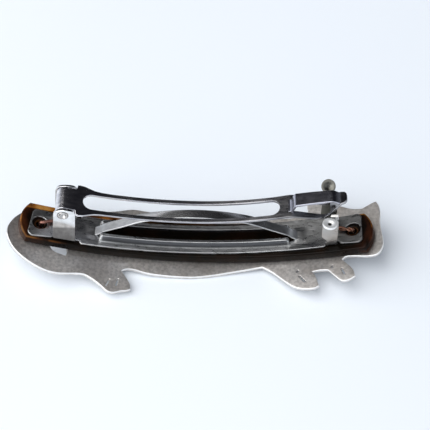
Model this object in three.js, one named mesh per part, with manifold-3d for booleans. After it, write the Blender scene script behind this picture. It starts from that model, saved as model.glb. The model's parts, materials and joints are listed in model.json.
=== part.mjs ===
// Automatic hair barrette, lying on its decorative face: a cat cut from silver sheet, a tortoiseshell acetate
// bar behind it, and an 80 mm steel clip fastened on with two copper wires.
// Millimetres. +X runs along the barrette from the hinge to the latch, +Z is up.
import * as THREE from "three";
import { mergeVertices } from "three/addons/utils/BufferGeometryUtils.js";
import Module from "manifold-3d";

const wasm = await Module();
wasm.setup();

// ---- Driving dimensions ----

// The stack, from the silver up, bent to concentric arcs whose ends rise.
const ARCH_RADIUS = 135; // of the clip base's top face
const PLATE_THICK = 0.9;
const BAR_THICK = 2.3;
const SHEET = 0.6; // steel of the clip
const LAYER_GAP = 0.05;
const BAR_BOTTOM = PLATE_THICK + LAYER_GAP;
const BASE_BOTTOM = BAR_BOTTOM + BAR_THICK + LAYER_GAP;
const BASE_TOP = BASE_BOTTOM + SHEET;
const ARCH_CENTRE = BASE_TOP + ARCH_RADIUS;

// Clip base.
const CLIP_HALF = 39.5; // the flat length of the clip is 80 mm
const BASE_HALF_WIDTH = 4.1;
const REAR_WIDENING = 0.75; // the rear edge stands out this much more at the latch
const TAB_ROOT_HALF_WIDTH = 3.6;
const TAB_HALF_WIDTH = 4.0;
const TAB_SLANT = 0.35; // of the left tab's end
const TAB_CORNER = 1.2;
const HOLE_X = 37.4;
const HOLE_RADIUS = 1.8;
const WINDOW_HALF_WIDTH = 1.5;
const WINDOW_END = 24;
const RIB_FROM = -23.2; // a pressed rib runs along each side of the window
const RIB_TO = 22.5;
const RIB_HALF_WIDTHS = [2.68, 2.55, 2.3]; // outer side of a rib, from its foot up, from the centre line
const RIB_HEIGHTS = [1.25, 1.55, 1.75]; // above the flat

// Arm.
const ARM_RADIUS = 115; // from the hinge to the middle
const ARM_RIGHT_RADIUS = 80; // from the middle to the latch
const ARM_TOP = BASE_TOP + 10.85; // its top face at the middle of the clip
const SHOULDER_X = -28.05;
const SHOULDER_HALF_WIDTH = 4.4;
const SLOT_HALF_WIDTH = 2.1;
const SLOT_FROM = -26.6;
const SLOT_TO = 19.5;
const TONGUE_HALF_WIDTH = 1.6;
const TONGUE_CUT = 1.5; // half width of the opening that the tongue is raised out of

// Hinge: the arm's end is curled round a pin that is held by two ears of the base.
const PIN_X = -31.2;
const PIN_RADIUS = 1.2;
const KNUCKLE_RADIUS = 1.9;
const KNUCKLE_HALF_WIDTH = 3.1;
const PIN_Z = ARM_TOP + ARM_RADIUS - Math.sqrt((ARM_RADIUS + KNUCKLE_RADIUS) ** 2 - PIN_X ** 2);
const EAR_HOLE_CLEARANCE = 0.05;
const EAR_FACE = 3.95; // outside face of an ear, from the centre line
const EAR_FROM = -34.1; // at its foot
const EAR_TO = -28.9;
const EAR_LEAN = 0.7; // the top stands this much further towards the middle
const EAR_TOP = BASE_TOP + 15.0;

// Tension leaf.
const LEAF_THICK = 0.4;
const LEAF_HALF_WIDTH = 1.25;
const LEAF_CROWN = BASE_TOP + 10;

// Latch wings.
const WING_FACE = 3.6; // outside face, from the centre line
const WING_TOP = BASE_TOP + 13.6;
const WING_GAP = 0.15; // round the notch of the base that each wing stands in
const CLAW_TIP = 2.25; // from the centre line: the catch passes between the two claws
const DISC_RADIUS = 1.7;
const DISC_X = 31;
const DISC_THICK = 0.6;
const FRONT_DISC = { y: 5.7, z: BASE_TOP + 14.1, tilt: 10 }; // the rear wing is bent up more than the front one
const REAR_DISC = { y: 5.45, z: BASE_TOP + 14.5, tilt: 33 };

// Acetate bar: it lies slightly askew behind the silver.
const BAR_HALF_LENGTH = 42.1;
const BAR_HALF_WIDTH = 5.2;
const BAR_END_BULGE = 1.9;
const BAR_SHIFT_Y = 0.3;
const BAR_SKEW = THREE.MathUtils.degToRad(-0.8);

// Fastening wires.
const LEFT_WIRE_RADIUS = 0.4;
const RIGHT_WIRE_RADIUS = 0.6;
const WIRE_HOLE_RADIUS = 0.95;

// ---- Solids ----

function solid(geometry) {
  const bare = geometry.index ? geometry.toNonIndexed() : geometry.clone();
  bare.deleteAttribute("normal");
  bare.deleteAttribute("uv");
  const merged = mergeVertices(bare, 1e-4);
  return new wasm.Manifold(
    new wasm.Mesh({
      numProp: 3,
      vertProperties: merged.attributes.position.array,
      triVerts: new Uint32Array(merged.index.array),
    }),
  );
}

function joined(first, ...others) {
  return others.reduce((sum, other) => sum.add(other), first);
}

function named(name, manifold, color, roughness, metalness) {
  const { vertProperties, triVerts } = manifold.getMesh();
  const geometry = new THREE.BufferGeometry();
  geometry.setAttribute("position", new THREE.BufferAttribute(vertProperties, 3));
  geometry.setIndex(new THREE.BufferAttribute(triVerts, 1));
  const flat = geometry.toNonIndexed();
  flat.computeVertexNormals();
  const mesh = new THREE.Mesh(flat, new THREE.MeshStandardMaterial({ color, roughness, metalness }));
  mesh.name = name;
  return mesh;
}

// A plan outline (x, y) raised from z0 to z1.
function prism(outline, z0, z1, curveSegments = 8) {
  const geometry = new THREE.ExtrudeGeometry(outline, { depth: z1 - z0, bevelEnabled: false, curveSegments });
  return solid(geometry.translate(0, 0, z0));
}

// A side outline (x, z) swept across from y0 to y1.
function sideways(outline, y0, y1, curveSegments = 8) {
  const geometry = new THREE.ExtrudeGeometry(outline, { depth: y1 - y0, bevelEnabled: false, curveSegments });
  return solid(geometry.rotateX(Math.PI / 2).translate(0, y1, 0));
}

// A long strip of sheet bent to an arc whose ends rise. top is its upper face at the middle. Every strip has
// its bends at the same angles, and a flat one in the middle.
function arch(radius, top, thick, halfWidth = 20) {
  const FACETS = 35;
  const REACH = 0.35;
  const centre = top + radius;
  const bend = (2 * REACH) / FACETS;
  const outline = [];
  const add = (faceRadius, angle) => {
    const r = faceRadius / Math.cos(bend / 2);
    outline.push(new THREE.Vector2(r * Math.sin(angle), centre - r * Math.cos(angle)));
  };
  for (let i = 0; i <= FACETS; i++) add(radius + thick, -REACH + i * bend);
  for (let i = FACETS; i >= 0; i--) add(radius, -REACH + i * bend);
  return sideways(new THREE.Shape(outline), -halfWidth, halfWidth);
}

// The part of the layered stack between two heights (measured at the middle) inside a plan outline.
function layer(outline, bottom, top, curveSegments = 8) {
  const column = prism(outline, bottom - 1, top + 12, curveSegments);
  return column.intersect(arch(ARCH_CENTRE - top, top, top - bottom));
}

// A strip of even thickness that follows a side-view path, its top face on the path.
function ribbon(path, thick, halfWidth) {
  const under = path.map((point, i) => {
    const before = path[Math.max(i - 1, 0)];
    const after = path[Math.min(i + 1, path.length - 1)];
    const along = after.clone().sub(before).normalize();
    return new THREE.Vector2(point.x + along.y * thick, point.y - along.x * thick);
  });
  return sideways(new THREE.Shape([...under, ...[...path].reverse()]), -halfWidth, halfWidth);
}

function smooth(points, steps) {
  return new THREE.SplineCurve(points.map(([x, y]) => new THREE.Vector2(x, y))).getPoints(steps);
}

function stadium(halfLength, halfWidth) {
  const outline = new THREE.Shape();
  const straight = halfLength - halfWidth;
  outline.absarc(straight, 0, halfWidth, -Math.PI / 2, Math.PI / 2);
  outline.absarc(-straight, 0, halfWidth, Math.PI / 2, (3 * Math.PI) / 2);
  return outline;
}

function disc(x, y, radius) {
  return new THREE.Shape().absarc(x, y, radius, 0, 2 * Math.PI);
}

function rectangle(x0, y0, x1, y1) {
  const corners = [
    [x0, y0],
    [x1, y0],
    [x1, y1],
    [x0, y1],
  ];
  return new THREE.Shape(corners.map(([x, y]) => new THREE.Vector2(x, y)));
}

// Height of an arc's face at x.
function archHeight(x, top, radius) {
  return top + radius - Math.sqrt(radius * radius - x * x);
}

// ---- Silver cat, seen from its back: a tail curled round the left end, two pairs of legs, a head on the right ----

function catOutline() {
  const cat = new THREE.Shape();
  const curve = (...points) => cat.splineThru(points.map(([x, y]) => new THREE.Vector2(x, y)));
  cat.moveTo(43.5, 9.7); // tip of the right ear
  curve([42.2, 9.4], [40.1, 8.3]);
  curve([37.5, 8.7], [34.6, 10.2]);
  curve([31.5, 12.4], [28.2, 13.9]); // tip of the left ear
  curve([27.0, 11.6], [27.2, 9.1]);
  curve([23.5, 7.8], [13, 8.4], [0, 9.4], [-11.3, 10.0], [-16, 10.3], [-21, 8.9], [-30, 7.9], [-37.5, 6.9]);
  curve([-42.1, 4.3], [-44.6, 0.8], [-45.1, -2.8], [-42.8, -7.2], [-37.9, -10.5], [-33.2, -11.6], [-27.4, -10.7]);
  curve([-25, -11.5], [-22.5, -13.4], [-20.3, -15.1], [-17.5, -14.4]); // hind paw
  curve([-16.2, -14.1], [-15.3, -13.6]);
  curve([-16, -11.3], [-17.7, -8.4]);
  curve([-16.4, -7.8], [-11, -8.8], [1, -9.0], [10.7, -7.3], [16, -6.4]); // belly
  curve([20.2, -9.9], [23.6, -13.0], [26.2, -13.7]); // first front leg
  curve([28.2, -13.6], [29.3, -13.0]);
  curve([28.6, -10.2], [27.9, -8.8]);
  cat.lineTo(31.5, -8.8);
  curve([32.9, -10.5], [34.6, -12.5], [36.3, -12.4]); // second front leg
  cat.lineTo(37.7, -11.5);
  curve([37.1, -9.4], [34.9, -6.2]);
  curve([36.6, -5.5], [41.0, -6.4], [43.4, -6.0], [44.5, -3.0], [44.2, 3.0], [44.2, 7.4], [43.5, 9.7]); // cheek
  return cat;
}

// The gap inside the curl of the tail, most of it behind the bar.
function tailGap() {
  const gap = new THREE.Shape();
  gap.moveTo(-31, -6.4);
  gap.splineThru([
    new THREE.Vector2(-30.7, -4.4),
    new THREE.Vector2(-32.2, -1.6),
    new THREE.Vector2(-35.4, -2.6),
    new THREE.Vector2(-34.2, -5.4),
    new THREE.Vector2(-31, -6.4),
  ]);
  return gap;
}

// Pierced strokes that part the toes: middle x, y, length and angle from +X in degrees.
const TOE_STROKES = [
  [-20.8, -12.3, 2.2, 70],
  [-18.6, -12.0, 2.2, 80],
  [25.4, -10.6, 2.4, 125],
  [24.4, -8.3, 0.7, 60],
  [35.0, -9.6, 1.9, 110],
  [32.5, -7.9, 0.8, 60],
];
const TOE_WIDTH = 0.55;

function silverCat() {
  let plate = layer(catOutline(), 0, PLATE_THICK, 5);
  plate = plate.subtract(prism(tailGap(), -1, 12, 4));
  for (const [x, y, length, degrees] of TOE_STROKES) {
    const stroke = new THREE.ExtrudeGeometry(stadium(length / 2, TOE_WIDTH / 2), {
      depth: 8,
      bevelEnabled: false,
      curveSegments: 4,
    });
    stroke.rotateZ(THREE.MathUtils.degToRad(degrees)).translate(x, y, -1);
    plate = plate.subtract(solid(stroke));
  }
  return plate;
}

// ---- Acetate bar ----

function acetateBar() {
  const corner = BAR_HALF_LENGTH - BAR_END_BULGE;
  const endRadius = (BAR_HALF_WIDTH ** 2 + BAR_END_BULGE ** 2) / (2 * BAR_END_BULGE);
  const half = Math.asin(BAR_HALF_WIDTH / endRadius);
  const centre = BAR_HALF_LENGTH - endRadius;
  const outline = new THREE.Shape();
  outline.moveTo(-corner, -BAR_HALF_WIDTH);
  outline.lineTo(corner, -BAR_HALF_WIDTH);
  outline.absarc(centre, 0, endRadius, -half, half);
  outline.lineTo(-corner, BAR_HALF_WIDTH);
  outline.absarc(-centre, 0, endRadius, Math.PI - half, Math.PI + half);
  const column = new THREE.ExtrudeGeometry(outline, { depth: 20, bevelEnabled: false, curveSegments: 8 });
  column.rotateZ(BAR_SKEW).translate(0, BAR_SHIFT_Y, -2);
  const top = BAR_BOTTOM + BAR_THICK;
  let bar = solid(column).intersect(arch(ARCH_CENTRE - top, top, BAR_THICK));
  for (const side of [-1, 1]) bar = bar.subtract(prism(disc(side * HOLE_X, 0, WIRE_HOLE_RADIUS), -2, 20, 6));
  return bar;
}

// ---- Steel clip ----

function baseOutline() {
  const notch = WING_FACE - SHEET - WING_GAP;
  const left = [
    [-34.6, TAB_ROOT_HALF_WIDTH],
    [EAR_FROM, EAR_FACE],
    [EAR_TO, EAR_FACE],
    [EAR_TO, 3.3],
    [-28.0, 3.3],
    [-27.4, BASE_HALF_WIDTH],
    [8, BASE_HALF_WIDTH],
  ];
  const right = [
    [30.9, BASE_HALF_WIDTH],
    [30.9, notch],
    [33.9, notch],
    [34.5, TAB_ROOT_HALF_WIDTH],
  ];
  const widened = right.map(([x, y]) => [x, y === notch ? y : y + REAR_WIDENING]);
  const cornerX = CLIP_HALF - TAB_CORNER;
  const cornerY = TAB_HALF_WIDTH - TAB_CORNER;
  const outline = new THREE.Shape();
  outline.moveTo(left[0][0], -left[0][1]);
  for (const [x, y] of [...left.slice(1), ...right]) outline.lineTo(x, -y);
  outline.absarc(cornerX, -cornerY, TAB_CORNER, -Math.PI / 2, 0);
  outline.absarc(cornerX, cornerY + 0.5, TAB_CORNER, 0, Math.PI / 2);
  for (const [x, y] of [...widened].reverse()) outline.lineTo(x, y);
  for (const [x, y] of [...left].reverse()) outline.lineTo(x, y);
  outline.absarc(TAB_SLANT - cornerX, cornerY, TAB_CORNER, Math.PI / 2, Math.PI);
  outline.absarc(-TAB_SLANT - cornerX, -cornerY, TAB_CORNER, Math.PI, (3 * Math.PI) / 2);
  return outline;
}

function hingeEar(side) {
  const root = archHeight(EAR_FROM, BASE_BOTTOM, ARCH_CENTRE - BASE_BOTTOM) + 0.1;
  const topFrom = EAR_FROM + EAR_LEAN;
  const topTo = EAR_TO + EAR_LEAN;
  const ear = new THREE.Shape();
  ear.moveTo(EAR_FROM, root);
  ear.lineTo(EAR_TO, root - 0.7);
  ear.lineTo(topTo - 0.1, EAR_TOP - 1.7);
  ear.quadraticCurveTo(topTo - 0.5, EAR_TOP, PIN_X + 0.5, EAR_TOP);
  ear.quadraticCurveTo(topFrom + 0.4, EAR_TOP, topFrom, EAR_TOP - 1.3);
  const faces = [side * (EAR_FACE - SHEET), side * EAR_FACE];
  const plate = sideways(ear, Math.min(...faces), Math.max(...faces), 6);
  return plate.subtract(sideways(disc(PIN_X, PIN_Z, PIN_RADIUS + EAR_HOLE_CLEARANCE), -9, 9, 12));
}

function clipBase() {
  const block = (inset, halfWidth, top) =>
    layer(rectangle(RIB_FROM + inset, -halfWidth, RIB_TO - inset, halfWidth), BASE_BOTTOM, top, 8);
  let base = joined(layer(baseOutline(), BASE_BOTTOM, BASE_TOP, 5), hingeEar(-1), hingeEar(1));
  RIB_HEIGHTS.forEach((height, step) => {
    base = base.add(block(0.2 * step, RIB_HALF_WIDTHS[step], BASE_TOP + height));
  });
  base = base.subtract(block(SHEET, RIB_HALF_WIDTHS[0] - SHEET, BASE_TOP + RIB_HEIGHTS[2] - SHEET));
  base = base.subtract(prism(stadium(WINDOW_END, WINDOW_HALF_WIDTH), 0, 20, 8));
  for (const side of [-1, 1]) base = base.subtract(prism(disc(side * HOLE_X, 0, HOLE_RADIUS), 0, 20, 12));
  return base;
}

function hingePin() {
  const end = EAR_FACE + 0.1;
  const RECESS_RADIUS = 0.8;
  const RECESS_DEPTH = 0.5;
  const profile = [
    [0, RECESS_DEPTH - end],
    [RECESS_RADIUS, -end],
    [PIN_RADIUS, -end],
    [PIN_RADIUS, end],
    [RECESS_RADIUS, end],
    [0, end - RECESS_DEPTH],
  ];
  const points = profile.map(([r, y]) => new THREE.Vector2(r, y));
  return solid(new THREE.LatheGeometry(points, 24).translate(PIN_X, 0, PIN_Z));
}

function armOutline() {
  const edge = [
    [PIN_X, KNUCKLE_HALF_WIDTH],
    [SHOULDER_X - 0.1, KNUCKLE_HALF_WIDTH],
    [SHOULDER_X, SHOULDER_HALF_WIDTH],
    [-26.2, SHOULDER_HALF_WIDTH],
    [-24.2, 3.5],
    [-21.5, 3.25],
    [18, 3.25],
    [22.8, 3.3],
    [26, 3.15],
    [28.5, 2.8],
    [30.2, 2.3],
    [31, 2.0],
    [34.2, 1.7],
    [35.2, 0.9],
  ];
  const near = edge.map(([x, y]) => new THREE.Vector2(x, -y));
  const far = edge.map(([x, y]) => new THREE.Vector2(x, y)).reverse();
  return new THREE.Shape([...near, ...far]);
}

function armSlot() {
  const left = SLOT_FROM + SLOT_HALF_WIDTH;
  const right = SLOT_TO - SLOT_HALF_WIDTH;
  const slot = new THREE.Shape();
  slot.absarc(right, 0, SLOT_HALF_WIDTH, -Math.PI / 2, Math.PI / 2);
  slot.absarc(left, 0, SLOT_HALF_WIDTH, Math.PI / 2, (3 * Math.PI) / 2);
  return slot;
}

function knuckle() {
  const LIP_ANGLE = THREE.MathUtils.degToRad(335);
  const meet = Math.PI / 2 + Math.asin(PIN_X / (ARM_RADIUS + KNUCKLE_RADIUS)) - 0.1;
  const curl = new THREE.Shape();
  curl.absarc(PIN_X, PIN_Z, KNUCKLE_RADIUS, meet, LIP_ANGLE);
  curl.absarc(PIN_X, PIN_Z, KNUCKLE_RADIUS - SHEET, LIP_ANGLE, meet, true);
  return sideways(curl, -KNUCKLE_HALF_WIDTH, KNUCKLE_HALF_WIDTH, 14);
}

// Side views, above the base's top face. Past the slot the arm's rails run on under the tongue and turn up to
// its tip: that turned-up end is the catch.
const RAILS = [
  [21.0, 13.66],
  [22.4, 13.9],
  [23.8, 13.75],
  [26.2, 13.35],
  [28.6, 12.95],
  [30.0, 12.85],
  [31.0, 13.3],
  [31.8, 14.4],
  [32.5, 15.9],
  [33.2, 17.0],
  [34.0, 17.4],
  [34.9, 17.75],
];
const TONGUE = [
  [21.3, 13.7],
  [22.1, 14.05],
  [22.5, 15.1],
  [22.95, 16.0],
  [23.9, 16.3],
  [26.6, 16.95],
  [31.0, 17.8],
  [32.4, 17.65],
  [33.6, 17.1],
];

function armLine() {
  const STEP = 1.5;
  const line = [];
  for (let x = -31.5; x < 0; x += STEP) line.push([x, archHeight(x, ARM_TOP, ARM_RADIUS)]);
  for (let x = 0; x < 20; x += STEP) line.push([x, archHeight(x, ARM_TOP, ARM_RIGHT_RADIUS)]);
  const start = line.map(([x, z]) => new THREE.Vector2(x, z));
  return [...start, ...smooth(lifted(RAILS), 30)];
}

function lifted(points) {
  return points.map(([x, z]) => [x, BASE_TOP + z]);
}

function claspArm() {
  const tongueSlot = rectangle(22.6, -TONGUE_CUT, 31.2, TONGUE_CUT);
  let plate = ribbon(armLine(), SHEET, 8).intersect(prism(armOutline(), 0, 40));
  plate = plate.subtract(prism(armSlot(), 0, 40, 8)).subtract(prism(tongueSlot, 0, BASE_TOP + 15));
  const pinClear = sideways(disc(PIN_X, PIN_Z, KNUCKLE_RADIUS - SHEET), -9, 9, 14);
  const tongue = ribbon(smooth(lifted(TONGUE), 24), SHEET, TONGUE_HALF_WIDTH);
  return joined(plate.subtract(pinClear), knuckle(), tongue);
}

function tensionLeaf() {
  const side = [
    [6.5, LEAF_CROWN - 0.5],
    [12.8, LEAF_CROWN - 1.9],
    [17.6, LEAF_CROWN - 4.05],
    [21.8, LEAF_CROWN - 5.95],
    [23.2, LEAF_CROWN - 6.8],
    [24.6, LEAF_CROWN - 7.2],
  ];
  const left = side.map(([x, z]) => [-x, z]).reverse();
  return ribbon(smooth([...left, [0, LEAF_CROWN], ...side], 44), LEAF_THICK, LEAF_HALF_WIDTH);
}

// A wing standing at -Y, with its disc.
function wingPlate({ y, z, tilt }) {
  const root = archHeight(DISC_X, BASE_BOTTOM, ARCH_CENTRE - BASE_BOTTOM) + 0.3;
  const inside = SHEET - WING_FACE;
  const side = new THREE.Shape();
  side.moveTo(31.1, root);
  side.lineTo(33.7, root + 0.5);
  side.lineTo(33.4, WING_TOP);
  side.lineTo(30.2, WING_TOP);
  side.lineTo(30.2, BASE_TOP + 6.5);
  side.lineTo(31.1, BASE_TOP + 5.5);
  const upright = sideways(side, -WING_FACE, inside);
  const claw = new THREE.Shape();
  claw.moveTo(31.0, WING_TOP - 0.5);
  claw.lineTo(33.3, WING_TOP - 0.4);
  claw.lineTo(33.3, WING_TOP + 0.1);
  claw.lineTo(31.0, WING_TOP);
  const padGeometry = new THREE.CylinderGeometry(DISC_RADIUS, DISC_RADIUS, DISC_THICK, 24);
  padGeometry.rotateX(Math.PI / 2 - THREE.MathUtils.degToRad(tilt)).translate(DISC_X, -y, z);
  const dimpleGeometry = new THREE.SphereGeometry(1.6, 16, 10);
  const dimple = solid(dimpleGeometry.translate(DISC_X, -y + 0.5, z + 1.7));
  const neck = new THREE.ExtrudeGeometry(
    new THREE.Shape([
      new THREE.Vector2(inside, WING_TOP - 0.9),
      new THREE.Vector2(inside, WING_TOP),
      new THREE.Vector2(0.9 - y, z - 0.1),
      new THREE.Vector2(0.9 - y, z - 0.6),
      new THREE.Vector2(-WING_FACE, WING_TOP - 0.7),
    ]),
    { depth: 2.2, bevelEnabled: false },
  );
  neck.rotateZ(Math.PI / 2).rotateY(Math.PI / 2).translate(DISC_X - 1.1, 0, 0);
  const pad = solid(padGeometry).subtract(dimple);
  return joined(upright, sideways(claw, inside - 0.1, -CLAW_TIP), solid(neck), pad);
}

// ---- Wires that hold bar and clip to the silver ----

// From the silver's back, up through bar and clip, then bent over towards the middle of the clip. It leans to
// one side by y where it leaves the hole and at its end.
function fasteningWire(side, radius, holeY, endY) {
  const floor = archHeight(HOLE_X, PLATE_THICK, ARCH_CENTRE - PLATE_THICK) + 0.3;
  const bendZ = archHeight(HOLE_X, BASE_TOP, ARCH_RADIUS) + radius + 0.15;
  const path = new THREE.CatmullRomCurve3(
    [
      [HOLE_X, 0, floor],
      [HOLE_X, 0, bendZ - 1.4],
      [HOLE_X - 0.25, holeY, bendZ - 0.3],
      [HOLE_X - 1.1, holeY, bendZ],
      [HOLE_X - 3.4, endY, bendZ - 0.75],
    ].map(([x, y, z]) => new THREE.Vector3(side * x, y, z)),
  );
  const section = new THREE.Shape().absarc(0, 0, radius, 0, 2 * Math.PI);
  return solid(new THREE.ExtrudeGeometry(section, { steps: 20, curveSegments: 6, extrudePath: path }));
}

// ---- Assembly ----

const barrette = new THREE.Group();
barrette.name = "barrette";
barrette.add(
  named("silver_cat_plate", silverCat(), 0xc9c4bd, 0.35, 1.0),
  named("tortoiseshell_bar", acetateBar(), 0x2a120a, 0.15, 0.0),
  named("clip_base", clipBase(), 0x9a9ca0, 0.3, 1.0),
  named("clasp_arm", claspArm(), 0x85878b, 0.3, 1.0),
  named("tension_leaf", tensionLeaf(), 0x8f9195, 0.28, 1.0),
  named("hinge_pin", hingePin(), 0xa9abae, 0.3, 1.0),
  named("latch_wing_front", wingPlate(FRONT_DISC), 0xb5b7ba, 0.28, 1.0),
  named("latch_wing_rear", wingPlate(REAR_DISC).mirror([0, 1, 0]), 0xb5b7ba, 0.28, 1.0),
  named("left_fastening_wire", fasteningWire(-1, LEFT_WIRE_RADIUS, -0.2, 0.8), 0xb5654a, 0.35, 1.0),
  named("right_fastening_wire", fasteningWire(1, RIGHT_WIRE_RADIUS, -0.6, 0.2), 0x8a4a34, 0.45, 1.0),
);
export default barrette;
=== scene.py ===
"""Looks of the barrette: formed sheet metal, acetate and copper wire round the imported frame."""

import json
import math

import bmesh
import bpy
import numpy as np
from mathutils import Matrix, Vector


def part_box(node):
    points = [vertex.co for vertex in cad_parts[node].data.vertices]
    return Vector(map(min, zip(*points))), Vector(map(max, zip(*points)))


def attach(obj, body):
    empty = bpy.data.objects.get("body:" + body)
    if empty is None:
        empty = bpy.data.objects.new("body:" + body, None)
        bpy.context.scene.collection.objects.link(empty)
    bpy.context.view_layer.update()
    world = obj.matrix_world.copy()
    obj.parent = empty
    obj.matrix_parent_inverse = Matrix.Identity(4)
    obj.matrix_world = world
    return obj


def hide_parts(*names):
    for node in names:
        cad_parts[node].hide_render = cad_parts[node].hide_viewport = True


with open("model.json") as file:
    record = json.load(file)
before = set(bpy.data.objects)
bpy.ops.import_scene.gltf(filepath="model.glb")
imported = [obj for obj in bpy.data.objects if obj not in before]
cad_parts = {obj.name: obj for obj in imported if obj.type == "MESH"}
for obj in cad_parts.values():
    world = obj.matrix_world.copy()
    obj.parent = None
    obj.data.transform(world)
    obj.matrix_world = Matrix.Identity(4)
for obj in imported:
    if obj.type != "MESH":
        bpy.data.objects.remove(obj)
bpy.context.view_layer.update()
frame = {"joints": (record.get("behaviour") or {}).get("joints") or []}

MM = 0.001
WORLD_STRENGTH = 1.15

# ---- Places and sizes, in millimetres, read from the frame where it has them ----


def box_mm(node):
    low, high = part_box(node)
    return low / MM, high / MM


def joint_place(name):
    joint = next(j for j in frame["joints"] if j["name"] == name)
    return Vector(joint["pos_m"]) / MM


BASE_HIGH = box_mm("clip_base")[1]
LEAF_HIGH = box_mm("tension_leaf")[1]
PIN_LOW, PIN_HIGH = box_mm("hinge_pin")
HINGE = joint_place("arm_hinge")

# The stack, from the silver up, on arcs round one centre.
SHEET = 0.6  # steel of the clip
PLATE_THICK = 0.9
BAR_THICK = 2.3
LAYER_GAP = 0.05
BASE_TOP = 3.9  # the clip base's top face at the middle
BAR_TOP = BASE_TOP - SHEET - LAYER_GAP
BASE_RADIUS = 135.0
ARC_CENTRE = BASE_TOP + BASE_RADIUS

# Silver cat.
PLATE_ROUND = 0.14  # of its edges
TOE_HALF_WIDTH = 0.22

# Acetate bar.
BAR_HALF_LENGTH = 42.1
BAR_HALF_WIDTH = 5.2
BAR_END_BULGE = 1.9
BAR_SHIFT_Y = 0.3
BAR_SKEW = math.radians(-0.8)
BAR_ROUND = 0.42

# Clip base.
CLIP_END = BASE_HIGH.x
HOLE_X = 37.4
HOLE_RADIUS = 1.8
TAB_CORNER = 1.2
RIB_HEIGHT = 1.75
RIB_ROOT = 2.7  # outer side of the ribs, from the centre line
RIB_ROUND = 0.5
RIB_FROM, RIB_TO = -23.3, 22.6
WINDOW_HALF_WIDTH = 1.5
WINDOW_END = 24.0
EAR_FACE = 3.95
EAR_TOP = BASE_TOP + 15.0
EAR_BEND = 0.4  # inner radius of the fold at an ear's foot

# Hinge and arm.
PIN_RADIUS = (PIN_HIGH.x - PIN_LOW.x) / 2
KNUCKLE_RADIUS = 1.9
KNUCKLE_HALF_WIDTH = 3.1
ARM_TOP = BASE_TOP + 10.85
ARM_RADIUS = 115.0  # from the hinge to the middle
ARM_RIGHT_RADIUS = 80.0  # from the middle to the latch
SLOT_FROM, SLOT_TO = -26.6, 19.5
SLOT_HALF_WIDTH = 2.1
TONGUE_FROM, TONGUE_TO = 22.6, 31.3  # the opening that the tongue is raised out of
TONGUE_CUT = 1.5  # its half width

# Leaf, latch and wires.
LEAF_THICK = 0.4
CLAW_THICK = 0.4
WING_X = 30
WING_FACE = 3.6
DISC_X = 31.0
DISC_RADIUS = 1.7
LEFT_WIRE_RADIUS = 0.4
RIGHT_WIRE_RADIUS = 0.6
STRAND_RADIUS = RIGHT_WIRE_RADIUS / 2
WIRE_HOLE_RADIUS = 0.95



def rise(x, radius=BASE_RADIUS):
    """How far an arc's face stands above its lowest point at x."""
    return radius - math.sqrt(radius * radius - x * x)


# ---- Outlines ----


def arc(x, y, radius, start, end, steps=8):
    """Points on a circle, from start to end in degrees."""
    turns = [math.radians(start + (end - start) * i / steps) for i in range(steps + 1)]
    return [(x + radius * math.cos(t), y + radius * math.sin(t)) for t in turns]


def circle(x, y, radius, steps=32):
    return arc(x, y, radius, 0, 360, steps)[:-1]


def slot_loop(left, right, half_width, steps=14):
    right_end = arc(right - half_width, 0, half_width, -90, 90, steps)
    return right_end + arc(left + half_width, 0, half_width, 90, 270, steps)


def through(points, steps=8):
    """A smooth line through points. Returns every point but the last."""
    p = [np.array(q, float) for q in points]
    p = [2 * p[0] - p[1], *p, 2 * p[-1] - p[-2]]
    made = []
    for a, b, c, d in zip(p, p[1:], p[2:], p[3:]):
        for i in range(steps):
            t = i / steps
            made.append(
                tuple(
                    0.5
                    * (
                        2 * b
                        + (c - a) * t
                        + (2 * a - 5 * b + 4 * c - d) * t * t
                        + (3 * b - a - 3 * c + d) * t**3
                    )
                )
            )
    return made


def mirrored(half):
    """A closed outline from its near half, given left to right at negative y."""
    return half + [(x, -y) for x, y in reversed(half)]


# ---- Meshes ----


def flat_sheet(loops, thick, edge=0.1, rounds=2):
    """A flat sheet of that outline and those holes, its upper face at z 0, with rounded edges."""
    outline = bpy.data.curves.new("outline", "CURVE")
    outline.dimensions = "2D"
    outline.fill_mode = "BOTH"
    outline.extrude = thick / 2 - edge
    outline.bevel_depth = edge
    outline.bevel_resolution = rounds
    outline.offset = -edge
    for loop in loops:
        spline = outline.splines.new("POLY")
        spline.points.add(len(loop) - 1)
        for point, (x, y) in zip(spline.points, loop):
            point.co = (x, y, 0, 1)
        spline.use_cyclic_u = True
    holder = bpy.data.objects.new("outline", outline)
    bpy.context.scene.collection.objects.link(holder)
    bpy.context.view_layer.update()
    solid = bpy.data.meshes.new_from_object(
        holder.evaluated_get(bpy.context.evaluated_depsgraph_get())
    )
    bpy.data.objects.remove(holder)
    mesh = bmesh.new()
    mesh.from_mesh(solid)
    bpy.data.meshes.remove(solid)
    bmesh.ops.remove_doubles(mesh, verts=mesh.verts, dist=1e-4)
    for v in mesh.verts:
        v.co.z -= thick / 2
    return mesh


def cut(mesh, axis, places):
    """Adds edges where the mesh crosses those places on the axis, so that it can bend there."""
    normal = Vector((0, 0, 0))
    normal[axis] = 1
    for place in places:
        bmesh.ops.bisect_plane(
            mesh,
            geom=[*mesh.verts, *mesh.edges, *mesh.faces],
            dist=1e-5,
            plane_co=normal * place,
            plane_no=normal,
        )


def every(start, end, step):
    """Even places from start to end, about a step apart."""
    count = max(1, round((end - start) / step))
    return [start + (end - start) * i / count for i in range(count + 1)]


def formed(mesh, shape):
    """Moves every vertex (x, y, z) to shape(x, y, z)."""
    for v in mesh.verts:
        v.co = shape(*v.co)
    return mesh


def mark_rim(mesh, edge, amount):
    """Marks the rounded upper edge of a flat sheet for painted light, by amount(x, y) of each place."""
    rim_light = mesh.verts.layers.float.new("rim_light")
    for v in mesh.verts:
        on_edge = -1.05 * edge < v.co.z < -0.02 * edge
        v[rim_light] = amount(v.co.x, v.co.y) if on_edge else 0.0


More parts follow.
